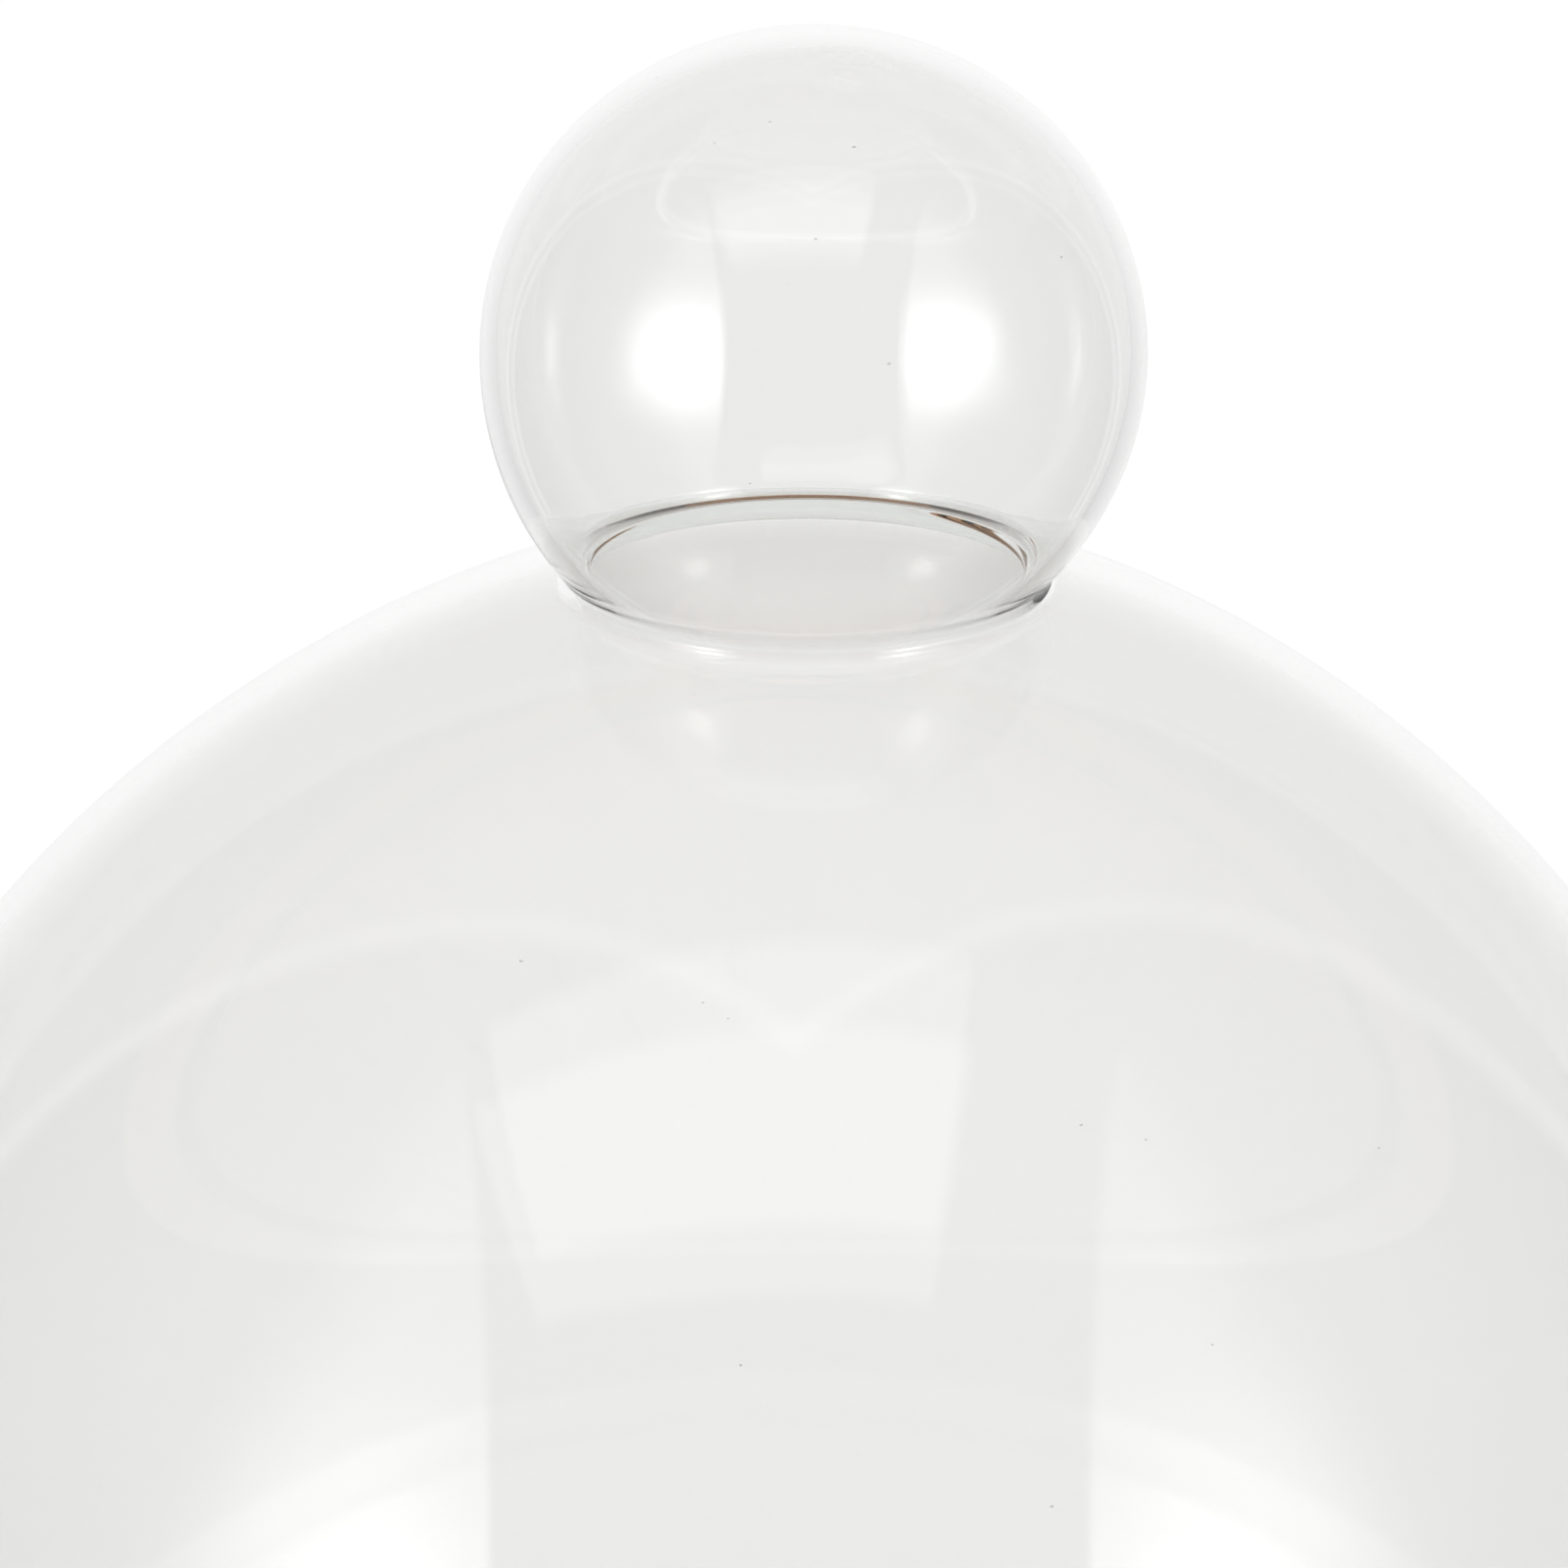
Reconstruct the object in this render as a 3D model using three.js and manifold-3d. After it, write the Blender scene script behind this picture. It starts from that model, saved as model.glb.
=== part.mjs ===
// A display bell jar: a blown-glass dome with a hollow ball knob, standing in the groove of a turned wooden base.
// Millimetres, +Z up. The origin is on the surface that the foot pads rest on, under the middle of the base.
// Each angle called "polar" is counted from straight up, round the centre of the arc that it belongs to.

import * as THREE from 'three';
import { mergeVertices } from 'three/addons/utils/BufferGeometryUtils.js';
import Module from 'manifold-3d';

const wasm = await Module();
wasm.setup();

const degrees = THREE.MathUtils.degToRad;

// ---- Driving dimensions ----

const GAP = 0.3; // left between pieces that touch on the real object

// The glass: a skirt with straight sides, a pointed shoulder, a narrow throat and a ball.
const BELL_RADIUS = 116;
const SKIRT_HEIGHT = 114; // rim to the start of the shoulder
const SHOULDER_RADIUS = 133; // larger than the bell's own radius, which makes the shoulder pointed
const BALL_RADIUS = 35;
const BALL_FLATTENING = 0.983; // the upper half of the ball is slightly lower than it is wide
const BALL_ABOVE_SHOULDER = 151; // centre of the ball over the start of the shoulder
const CREASE_RADIUS = 1.2; // the hollow fillet outside, where ball and shoulder meet
const THROAT_RADIUS = 3.2; // the round edge inside the same joint

// Wall thickness. Blown glass stays a little thicker near the throat and near the seal, where it was hottest last.
const SKIRT_WALL = 2;
const SHOULDER_WALL = 2.4;
const BALL_WALL = 1.8;
const BALL_TOP_WALL = 2.3;
const RIM_WALL = 3;
const RIM_HEIGHT = 5;

// Where the welded ring ends, on the shoulder and on the ball.
const COLLAR_SHOULDER_POLAR = degrees(22);
const COLLAR_BALL_POLAR = degrees(127);

// The button of glass that closed the ball's blowing hole, a little off the top.
const SEAL_RADIUS = 4.2;
const SEAL_TILT = degrees(14);
const SEAL_HEADING = degrees(-65); // anticlockwise from +X, seen from above
const SEAL_CROWN = 0.3; // how far the button swells, inside and outside

// The base: a turned disc with a groove for the glass, a felt ring in the groove, and pads underneath.
const PLINTH_RADIUS = 136;
const PLINTH_HEIGHT = 22;
const PLINTH_EDGE_RADIUS = 7;
const PLINTH_CHAMFER = 1.5;
const LINE_HEIGHT = 10.4; // a line cut round the side, over the underside
const LINE_DEPTH = 0.9;
const LINE_HALF_WIDTH = 0.8;
const GROOVE_DEPTH = 6;
const GROOVE_CLEARANCE = 1.5; // either side of the rim
const FELT_THICKNESS = 2;
const FELT_SIDE_GAP = 0.4;
const PAD_RADIUS = 9;
const PAD_HEIGHT = 3;
const PAD_CHAMFER = 0.8;
const PAD_CIRCLE_RADIUS = 104;
const PAD_COUNT = 4;

// How finely the round shapes are cut.
const LARGE_ROUND = 72;
const BALL_ROUND = 48;
const SMALL_ROUND = 28;

// ---- Heights and radii that follow ----

const PLINTH_BOTTOM = PAD_HEIGHT + GAP;
const PLINTH_TOP = PLINTH_BOTTOM + PLINTH_HEIGHT;
const GROOVE_FLOOR = PLINTH_TOP - GROOVE_DEPTH;
const FELT_BOTTOM = GROOVE_FLOOR + GAP;
const RIM_BOTTOM = FELT_BOTTOM + FELT_THICKNESS + GAP;
const SHOULDER_START = RIM_BOTTOM + SKIRT_HEIGHT;
const BALL_CENTRE = SHOULDER_START + BALL_ABOVE_SHOULDER;
const SHOULDER_OFFSET = BELL_RADIUS - SHOULDER_RADIUS; // the shoulder arc's centre lies past the axis
const RIM_OUTSIDE = BELL_RADIUS + (RIM_WALL - SKIRT_WALL) / 2;
const RIM_INSIDE = RIM_OUTSIDE - RIM_WALL;

// ---- Materials ----

const clearGlass = {
  color: 0xf2f4f2, roughness: 0.03, metalness: 0, transparent: true, opacity: 0.3, side: THREE.DoubleSide,
};
const material = {
  bell: new THREE.MeshStandardMaterial(clearGlass),
  collar: new THREE.MeshStandardMaterial({ ...clearGlass, opacity: 0.45 }),
  ball: new THREE.MeshStandardMaterial(clearGlass),
  seal: new THREE.MeshStandardMaterial({ ...clearGlass, opacity: 0.5 }),
  wood: new THREE.MeshStandardMaterial({ color: 0x6b4630, roughness: 0.45, metalness: 0 }),
  felt: new THREE.MeshStandardMaterial({ color: 0x3a3532, roughness: 0.95, metalness: 0 }),
  pad: new THREE.MeshStandardMaterial({ color: 0x2a2826, roughness: 0.8, metalness: 0 }),
};

// ---- Shape helpers ----

// A point of an arc, as radius from the axis and height.
function arcPoint(centreRadius, centreHeight, arcRadius, polar) {
  return new THREE.Vector2(
    centreRadius + arcRadius * Math.sin(polar),
    centreHeight + arcRadius * Math.cos(polar),
  );
}

// Points from one polar angle to another, both ends included. arcRadius may be a number or a function of the angle.
function arc(centreRadius, centreHeight, arcRadius, fromPolar, toPolar, steps) {
  const points = [];
  for (let i = 0; i <= steps; i += 1) {
    const polar = THREE.MathUtils.lerp(fromPolar, toPolar, i / steps);
    const radius = typeof arcRadius === 'function' ? arcRadius(polar) : arcRadius;
    points.push(arcPoint(centreRadius, centreHeight, radius, polar));
  }
  return points;
}

// The crossing of two circles that lies farther from the axis.
function outerCrossing(centreA, radiusA, centreB, radiusB) {
  const between = centreB.clone().sub(centreA);
  const distance = between.length();
  const along = (distance ** 2 + radiusA ** 2 - radiusB ** 2) / (2 * distance);
  const aside = Math.sqrt(radiusA ** 2 - along ** 2);
  const direction = between.divideScalar(distance);
  const sideways = new THREE.Vector2(direction.y, -direction.x);
  const crossings = [aside, -aside].map(
    (offset) => centreA.clone().addScaledVector(direction, along).addScaledVector(sideways, offset),
  );
  return crossings[0].x > crossings[1].x ? crossings[0] : crossings[1];
}

function polarFrom(centre, point) {
  return Math.atan2(point.x - centre.x, point.y - centre.y);
}

// Drops everything but position and joins shared vertices, which closes the seam of a turned shape.
function closeSeams(geometry) {
  geometry.deleteAttribute('normal');
  geometry.deleteAttribute('uv');
  return mergeVertices(geometry, 1e-4);
}

// Turns a profile round the Z axis. The profile runs up the outside and down the inside.
function turned(profile, segments) {
  const geometry = closeSeams(new THREE.LatheGeometry(profile, segments));
  geometry.rotateX(Math.PI / 2);
  return geometry;
}

// The same for a ring, whose profile closes on itself.
function turnedRing(profile, segments) {
  return turned([...profile, profile[0].clone()], segments);
}

function toManifold(geometry) {
  return new wasm.Manifold(new wasm.Mesh({
    numProp: 3,
    vertProperties: new Float32Array(geometry.attributes.position.array),
    triVerts: new Uint32Array(geometry.index.array),
  }));
}

function fromManifold(solid) {
  const { vertProperties, triVerts } = solid.getMesh();
  const geometry = new THREE.BufferGeometry();
  geometry.setAttribute('position', new THREE.BufferAttribute(vertProperties, 3));
  geometry.setIndex(new THREE.BufferAttribute(triVerts, 1));
  return geometry;
}

function part(name, geometry, look) {
  geometry.computeVertexNormals();
  const mesh = new THREE.Mesh(geometry, look);
  mesh.name = name;
  return mesh;
}

// ---- Glass ----

function shoulderWall(polar) {
  const towardsThroat = 1 - THREE.MathUtils.smoothstep(polar, COLLAR_SHOULDER_POLAR, degrees(80));
  return THREE.MathUtils.lerp(SKIRT_WALL, SHOULDER_WALL, towardsThroat);
}

function ballWall(polar) {
  const towardsTop = 1 - THREE.MathUtils.smoothstep(polar, degrees(10), degrees(84));
  return THREE.MathUtils.lerp(BALL_WALL, BALL_TOP_WALL, towardsTop);
}

function bellWall() {
  const bead = RIM_WALL / 3;
  const from = COLLAR_SHOULDER_POLAR;
  const gapAngle = GAP / SHOULDER_RADIUS;
  const outside = arc(SHOULDER_OFFSET, SHOULDER_START, SHOULDER_RADIUS, Math.PI / 2, from + gapAngle, 14);
  const inside = arc(
    SHOULDER_OFFSET, SHOULDER_START, (polar) => SHOULDER_RADIUS - shoulderWall(polar),
    from + gapAngle, Math.PI / 2, 14,
  );
  return turnedRing([
    new THREE.Vector2(RIM_INSIDE + bead, RIM_BOTTOM),
    new THREE.Vector2(RIM_OUTSIDE - bead, RIM_BOTTOM),
    new THREE.Vector2(RIM_OUTSIDE, RIM_BOTTOM + bead),
    new THREE.Vector2(RIM_OUTSIDE, RIM_BOTTOM + RIM_HEIGHT - bead),
    new THREE.Vector2(BELL_RADIUS, RIM_BOTTOM + RIM_HEIGHT + bead),
    ...outside,
    ...inside,
    new THREE.Vector2(BELL_RADIUS - SKIRT_WALL, RIM_BOTTOM + RIM_HEIGHT + bead),
    new THREE.Vector2(RIM_INSIDE, RIM_BOTTOM + RIM_HEIGHT - bead),
    new THREE.Vector2(RIM_INSIDE, RIM_BOTTOM + bead),
  ], LARGE_ROUND);
}

// The welded ring where the ball grows out of the shoulder, with its crease outside and throat inside.
function neckCollar() {
  const shoulderCentre = new THREE.Vector2(SHOULDER_OFFSET, SHOULDER_START);
  const ballCentre = new THREE.Vector2(0, BALL_CENTRE);
  const ballInside = BALL_RADIUS - ballWall(COLLAR_BALL_POLAR);
  const shoulderInside = SHOULDER_RADIUS - shoulderWall(COLLAR_SHOULDER_POLAR);

  const crease = outerCrossing(
    shoulderCentre, SHOULDER_RADIUS + CREASE_RADIUS, ballCentre, BALL_RADIUS + CREASE_RADIUS,
  );
  const throat = outerCrossing(
    shoulderCentre, shoulderInside + THROAT_RADIUS, ballCentre, ballInside + THROAT_RADIUS,
  );

  const side = (centre, radius, other, fromPolar, toPolar, steps) => arc(
    centre.x, centre.y, radius, fromPolar ?? polarFrom(centre, other), toPolar ?? polarFrom(centre, other), steps,
  );
  const creaseArc = arc(
    crease.x, crease.y, CREASE_RADIUS,
    polarFrom(crease, shoulderCentre) + 2 * Math.PI, polarFrom(crease, ballCentre) + 2 * Math.PI, 6,
  );
  const throatArc = arc(
    throat.x, throat.y, THROAT_RADIUS,
    polarFrom(throat, ballCentre) + 2 * Math.PI, polarFrom(throat, shoulderCentre) + 2 * Math.PI, 8,
  );
  return turnedRing([
    ...side(shoulderCentre, SHOULDER_RADIUS, crease, COLLAR_SHOULDER_POLAR, null, 2).slice(0, -1),
    ...creaseArc,
    ...side(ballCentre, BALL_RADIUS, crease, null, COLLAR_BALL_POLAR, 2).slice(1),
    ...side(ballCentre, ballInside, throat, COLLAR_BALL_POLAR, null, 2).slice(0, -1),
    ...throatArc,
    ...side(shoulderCentre, shoulderInside, throat, null, COLLAR_SHOULDER_POLAR, 2).slice(1),
  ], BALL_ROUND);
}

// Moves a shape that was made round the Z axis at the origin to the seal's place on the ball.
function toSeal(geometry) {
  return geometry
    .rotateY(SEAL_TILT)
    .rotateZ(SEAL_HEADING)
    .translate(0, 0, BALL_CENTRE);
}

function ballKnob() {
  const end = COLLAR_BALL_POLAR - GAP / BALL_RADIUS;
  const shell = turned([
    ...arc(0, 0, (polar) => BALL_RADIUS - ballWall(polar), 0, end, 18),
    ...arc(0, 0, BALL_RADIUS, end, 0, 18),
  ], BALL_ROUND);
  const { position } = shell.attributes;
  for (let i = 0; i < position.count; i += 1) {
    if (position.getZ(i) > 0) position.setZ(i, position.getZ(i) * BALL_FLATTENING);
  }
  shell.translate(0, 0, BALL_CENTRE);

  const drill = new THREE.CylinderGeometry(SEAL_RADIUS + GAP, SEAL_RADIUS + GAP, BALL_RADIUS, SMALL_ROUND);
  const hole = closeSeams(drill).rotateX(Math.PI / 2).translate(0, 0, BALL_RADIUS);
  return fromManifold(toManifold(shell).subtract(toManifold(toSeal(hole))));
}

function sealButton() {
  const outside = BALL_RADIUS * BALL_FLATTENING;
  const inside = outside - BALL_TOP_WALL;
  return toSeal(turned([
    new THREE.Vector2(0, inside - SEAL_CROWN),
    new THREE.Vector2(SEAL_RADIUS * 0.6, inside - SEAL_CROWN / 2),
    new THREE.Vector2(SEAL_RADIUS, inside + SEAL_CROWN),
    new THREE.Vector2(SEAL_RADIUS, outside - SEAL_CROWN),
    new THREE.Vector2(SEAL_RADIUS * 0.6, outside),
    new THREE.Vector2(0, outside + SEAL_CROWN / 3),
  ], SMALL_ROUND));
}

// ---- Base ----

const GROOVE_INSIDE = RIM_INSIDE - GROOVE_CLEARANCE;
const GROOVE_OUTSIDE = RIM_OUTSIDE + GROOVE_CLEARANCE;

function basePlinth() {
  return turned([
    new THREE.Vector2(0, PLINTH_BOTTOM),
    new THREE.Vector2(PLINTH_RADIUS - PLINTH_CHAMFER, PLINTH_BOTTOM),
    new THREE.Vector2(PLINTH_RADIUS, PLINTH_BOTTOM + PLINTH_CHAMFER),
    new THREE.Vector2(PLINTH_RADIUS, PLINTH_BOTTOM + LINE_HEIGHT - LINE_HALF_WIDTH),
    new THREE.Vector2(PLINTH_RADIUS - LINE_DEPTH, PLINTH_BOTTOM + LINE_HEIGHT - LINE_HALF_WIDTH / 2),
    new THREE.Vector2(PLINTH_RADIUS - LINE_DEPTH, PLINTH_BOTTOM + LINE_HEIGHT + LINE_HALF_WIDTH / 2),
    new THREE.Vector2(PLINTH_RADIUS, PLINTH_BOTTOM + LINE_HEIGHT + LINE_HALF_WIDTH),
    ...arc(
      PLINTH_RADIUS - PLINTH_EDGE_RADIUS, PLINTH_TOP - PLINTH_EDGE_RADIUS, PLINTH_EDGE_RADIUS,
      Math.PI / 2, 0, 6,
    ),
    new THREE.Vector2(GROOVE_OUTSIDE, PLINTH_TOP),
    new THREE.Vector2(GROOVE_OUTSIDE, GROOVE_FLOOR),
    new THREE.Vector2(GROOVE_INSIDE, GROOVE_FLOOR),
    new THREE.Vector2(GROOVE_INSIDE, PLINTH_TOP),
    new THREE.Vector2(0, PLINTH_TOP),
  ], LARGE_ROUND);
}

function grooveFelt() {
  const inside = GROOVE_INSIDE + FELT_SIDE_GAP;
  const outside = GROOVE_OUTSIDE - FELT_SIDE_GAP;
  return turnedRing([
    new THREE.Vector2(inside, FELT_BOTTOM),
    new THREE.Vector2(outside, FELT_BOTTOM),
    new THREE.Vector2(outside, FELT_BOTTOM + FELT_THICKNESS),
    new THREE.Vector2(inside, FELT_BOTTOM + FELT_THICKNESS),
  ], LARGE_ROUND);
}

function footPad() {
  return turned([
    new THREE.Vector2(0, 0),
    new THREE.Vector2(PAD_RADIUS - PAD_CHAMFER, 0),
    new THREE.Vector2(PAD_RADIUS, PAD_CHAMFER),
    new THREE.Vector2(PAD_RADIUS, PAD_HEIGHT),
    new THREE.Vector2(0, PAD_HEIGHT),
  ], SMALL_ROUND);
}

// ---- Assembly ----

const base = new THREE.Group();
base.add(part('base_plinth', basePlinth(), material.wood));
base.add(part('groove_felt', grooveFelt(), material.felt));
for (let i = 0; i < PAD_COUNT; i += 1) {
  const heading = (i + 0.5) * (2 * Math.PI / PAD_COUNT);
  const pad = part(`foot_pad_${i + 1}`, footPad(), material.pad);
  pad.position.set(PAD_CIRCLE_RADIUS * Math.cos(heading), PAD_CIRCLE_RADIUS * Math.sin(heading), 0);
  base.add(pad);
}

const dome = new THREE.Group();
dome.add(part('bell_wall', bellWall(), material.bell));
dome.add(part('neck_collar', neckCollar(), material.collar));
dome.add(part('ball_knob', ballKnob(), material.ball));
dome.add(part('seal_button', sealButton(), material.seal));

const bellJar = new THREE.Group();
bellJar.add(base, dome);

export default bellJar;
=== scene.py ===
# %% [markdown]
# # A bell jar in blown glass
#
# This lesson dresses a bell jar: a clear dome with a hollow ball for a handle, standing in the groove of a
# turned wooden base. The sizes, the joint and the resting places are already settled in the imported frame.
# Each cell below makes one piece or one finish, and prints what it made.

import math
import random

import bmesh
import bpy
from mathutils import Matrix, Vector, noise


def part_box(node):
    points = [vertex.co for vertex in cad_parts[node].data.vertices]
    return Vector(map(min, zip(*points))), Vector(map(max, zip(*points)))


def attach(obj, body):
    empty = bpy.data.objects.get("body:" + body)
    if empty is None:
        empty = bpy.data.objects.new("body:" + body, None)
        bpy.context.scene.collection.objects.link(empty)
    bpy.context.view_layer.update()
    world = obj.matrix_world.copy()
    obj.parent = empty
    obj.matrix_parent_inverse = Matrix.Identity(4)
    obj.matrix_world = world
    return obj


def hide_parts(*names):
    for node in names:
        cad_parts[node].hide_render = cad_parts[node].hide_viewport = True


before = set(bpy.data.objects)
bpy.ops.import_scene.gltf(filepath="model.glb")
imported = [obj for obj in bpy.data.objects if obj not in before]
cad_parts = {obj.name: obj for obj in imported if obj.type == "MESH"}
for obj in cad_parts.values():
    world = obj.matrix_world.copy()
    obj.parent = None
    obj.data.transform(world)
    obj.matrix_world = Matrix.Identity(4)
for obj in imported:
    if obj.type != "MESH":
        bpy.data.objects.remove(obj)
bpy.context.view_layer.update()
MM = 0.001

# %% [markdown]
# ## Where things are
#
# Blender works in metres, and the frame does too. Every height and radius that the pieces need is read from
# the boxes of the frame's nodes, so a change of the frame moves everything with it. Only what a box can't
# say, such as the wall of the glass, is given here as a value of its own.

# %% Read the places
bell_low, bell_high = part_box("bell_wall")
ball_low, ball_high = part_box("ball_knob")
plinth_low, plinth_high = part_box("base_plinth")
felt_low, felt_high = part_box("groove_felt")

RIM_OUTSIDE = bell_high.x
RIM_BOTTOM = bell_low.z
BALL_RADIUS = ball_high.x
BALL_FLATTENING = 0.983
BALL_CENTRE = ball_high.z - BALL_RADIUS * BALL_FLATTENING
SHOULDER_START = BALL_CENTRE - 151 * MM
print("the rim stands at", round(RIM_BOTTOM / MM, 1), "mm")
print("the centre of the ball is at", round(BALL_CENTRE / MM, 1), "mm")

# %% [markdown]
# ## The section of the glass
#
# The dome, the thick ring and the ball are one piece of glass, melted together at the lamp. A glass blower
# thinks of such a piece as a section turned round an axis, and so does this cell: one line runs up the
# outside from the rim to the top of the ball, and back down the inside. The two lines are worked out apart,
# because the wall isn't even. It is thinnest where the glass was blown far, and a little thicker near the
# ring and under the seal. The steps are gentle: a wall that thins fast bends what is seen through it and
# gives dark blots.

# %% Walls
SKIRT_WALL = 2.0 * MM
SHOULDER_WALL = 2.4 * MM
BALL_WALL = 1.8 * MM
BALL_TOP_WALL = 2.3 * MM
RIM_WALL = 3.0 * MM
RIM_BLEND = 9 * MM
SHOULDER_RADIUS = 133 * MM
CREASE_RADIUS = 1.2 * MM
THROAT_RADIUS = 3.2 * MM

RIM_MIDDLE = RIM_OUTSIDE - RIM_WALL / 2
BELL_RADIUS = RIM_MIDDLE + SKIRT_WALL / 2
SHOULDER_CENTRE = Vector((BELL_RADIUS - SHOULDER_RADIUS, SHOULDER_START))
BALL_MIDDLE = Vector((0, BALL_CENTRE))
RING_ON_SHOULDER = math.radians(22)
RING_ON_BALL = math.radians(127)


def eased(low, high, x):
    """0 below low, 1 above high, and a smooth rise between them."""
    t = min(max((x - low) / (high - low), 0.0), 1.0)
    return t * t * (3 - 2 * t)


def shoulder_wall(polar):
    return SKIRT_WALL + (SHOULDER_WALL - SKIRT_WALL) * (1 - eased(math.radians(16), math.radians(80), polar))


def ball_wall(polar):
    return BALL_WALL + (BALL_TOP_WALL - BALL_WALL) * (1 - eased(math.radians(10), math.radians(84), polar))


print("the wall runs from", SKIRT_WALL / MM, "mm at the skirt to", SHOULDER_WALL / MM, "mm at the ring")

# %% [markdown]
# ## Arcs and where they cross
#
# The dome and the ball are two large circles seen from the side. Everything small between them follows from
# where circles cross, so three helpers are enough: the crossing of two circles, the angle of a point seen
# from a centre, and a row of points along an arc. Angles are counted from straight up, as on a clock.

# %% Arcs


def outer_crossing(centre_a, radius_a, centre_b, radius_b):
    """The crossing of two circles that lies farther from the axis."""
    between = centre_b - centre_a
    distance = between.length
    along = (distance ** 2 + radius_a ** 2 - radius_b ** 2) / (2 * distance)
    aside = math.sqrt(radius_a ** 2 - along ** 2)
    direction = between / distance
    sideways = Vector((direction.y, -direction.x))
    middle = centre_a + direction * along
    return max(middle + sideways * aside, middle - sideways * aside, key=lambda p: p.x)


def polar_from(centre, point):
    """The angle from straight up, at centre, of the way to point."""
    return math.atan2(point.x - centre.x, point.y - centre.y)


def arc_place(centre, radius, polar):
    return centre + Vector((math.sin(polar), math.cos(polar))) * radius


def arc(centre, radius, start, end, step):
    """Points round a centre, a step or less apart. The radius may be a number or a function of the angle."""
    reach = radius(start) if callable(radius) else radius
    count = max(2, math.ceil(abs(end - start) * reach / step))
    points = []
    for i in range(count + 1):
        polar = start + (end - start) * i / count
        r = radius(polar) if callable(radius) else radius
        points.append(arc_place(centre, r, polar))
    return points


print("a quarter arc of the ball has", len(arc(BALL_MIDDLE, BALL_RADIUS, 0, math.pi / 2, 2 * MM)), "points")

# %% [markdown]
# ## From rim to top, and back inside
#
# The ring is where most of the character is. Outside, ball and shoulder meet in a tight crease; inside, the
# same joint is a wide soft throat, because surface tension rounds hot glass more where it is thick. Both
# are small arcs that touch the two big ones, found by crossing two circles. The rim was softened in a
# flame, so it ends in a full round bead that is a little thicker than the wall.

# %% The ring and the rim
STEP = 2.6 * MM
FINE_STEP = 0.5 * MM
BALL_STEP = 1.4 * MM
SKIRT_STEP = 6 * MM
FINE_TOP = math.radians(31)

ring_inside_ball = BALL_RADIUS - BALL_WALL
ring_inside_shoulder = SHOULDER_RADIUS - shoulder_wall(RING_ON_SHOULDER)
crease = outer_crossing(SHOULDER_CENTRE, SHOULDER_RADIUS + CREASE_RADIUS,
                        BALL_MIDDLE, BALL_RADIUS + CREASE_RADIUS)
throat = outer_crossing(SHOULDER_CENTRE, ring_inside_shoulder + THROAT_RADIUS,
                        BALL_MIDDLE, ring_inside_ball + THROAT_RADIUS)


def rim_half_wall(height):
    """Half the wall at a height over the rim's lowest point: a round bead that thins into the skirt."""
    wall = RIM_WALL + (SKIRT_WALL - RIM_WALL) * eased(RIM_WALL / 2, RIM_BLEND, height)
    bead = RIM_WALL / 2
    if height < bead:
        return math.sqrt(max(bead ** 2 - (bead - height) ** 2, 0))
    return wall / 2


def skirt_heights():
    bead = RIM_WALL / 2
    heights = [bead * (1 - math.cos(math.radians(a))) for a in range(15, 91, 15)]
    heights += [bead + (RIM_BLEND - bead) * i / 6 for i in range(1, 7)]
    rest = SHOULDER_START - RIM_BOTTOM - RIM_BLEND
    count = round(rest / SKIRT_STEP)
    return heights + [RIM_BLEND + rest * i / count for i in range(1, count)]


def skirt(side):
    """The outside (side 1) or the inside (side -1) of the skirt, upwards, without the lowest point."""
    return [Vector((RIM_MIDDLE + side * rim_half_wall(h), RIM_BOTTOM + h)) for h in skirt_heights()]


def ball_arc(radius, start, end):
    """The ball is fine near the top, where the seal is, and coarser below."""
    turns = sorted([start, FINE_TOP, end], reverse=start > end)
    parts = []
    for a, b in zip(turns, turns[1:]):
        step = FINE_STEP if max(a, b) <= FINE_TOP + 1e-6 else BALL_STEP
        points = arc(BALL_MIDDLE, radius, a, b, step)
        parts += points[1:] if parts else points
    for p in parts:
        flatten = 1 - (1 - BALL_FLATTENING) * eased(0.0, BALL_RADIUS, p.y - BALL_CENTRE)
        p.y = BALL_CENTRE + (p.y - BALL_CENTRE) * flatten
    return parts


print("the crease lies", round(crease.x / MM, 1), "mm from the axis")

# %% [markdown]
# ## Joining the arcs
#
# Now the two lines are put together, both upwards: skirt, shoulder, ring, ball. The bends of the ring need
# short steps, the long arcs don't. The steps are finer again at the very top of the ball, where the seal
# will be pushed into the skin.

# %% Draw the section
outside = skirt(1)
outside += arc(SHOULDER_CENTRE, SHOULDER_RADIUS, math.pi / 2, polar_from(SHOULDER_CENTRE, crease), STEP)
outside += arc(crease, CREASE_RADIUS, polar_from(crease, SHOULDER_CENTRE) % math.tau,
               polar_from(crease, BALL_MIDDLE) % math.tau, 0.25 * MM)[1:-1]
outside += ball_arc(BALL_RADIUS, polar_from(BALL_MIDDLE, crease), 0.0)

inside = skirt(-1)
inside += arc(SHOULDER_CENTRE, lambda polar: SHOULDER_RADIUS - shoulder_wall(polar), math.pi / 2,
              polar_from(SHOULDER_CENTRE, throat), STEP)
inside += arc(throat, THROAT_RADIUS, polar_from(throat, SHOULDER_CENTRE) % math.tau,
              polar_from(throat, BALL_MIDDLE) % math.tau, 0.5 * MM)[1:-1]
inside += ball_arc(lambda polar: BALL_RADIUS - ball_wall(polar), polar_from(BALL_MIDDLE, throat), 0.0)
rim_point = Vector((RIM_MIDDLE, RIM_BOTTOM))
print("the section has", len(outside), "points outside and", len(inside), "inside")

# %% [markdown]
# ## Turning a section into a skin
#
# Blender could turn a section with a Screw modifier. Building the rings in code is just as short, and it
# lets a small function move each point a little first, which is how the marks of hand work get into the
# shape itself. The same helper turns the wooden base, the felt and the pads later on.

# %% A turning helper


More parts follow.
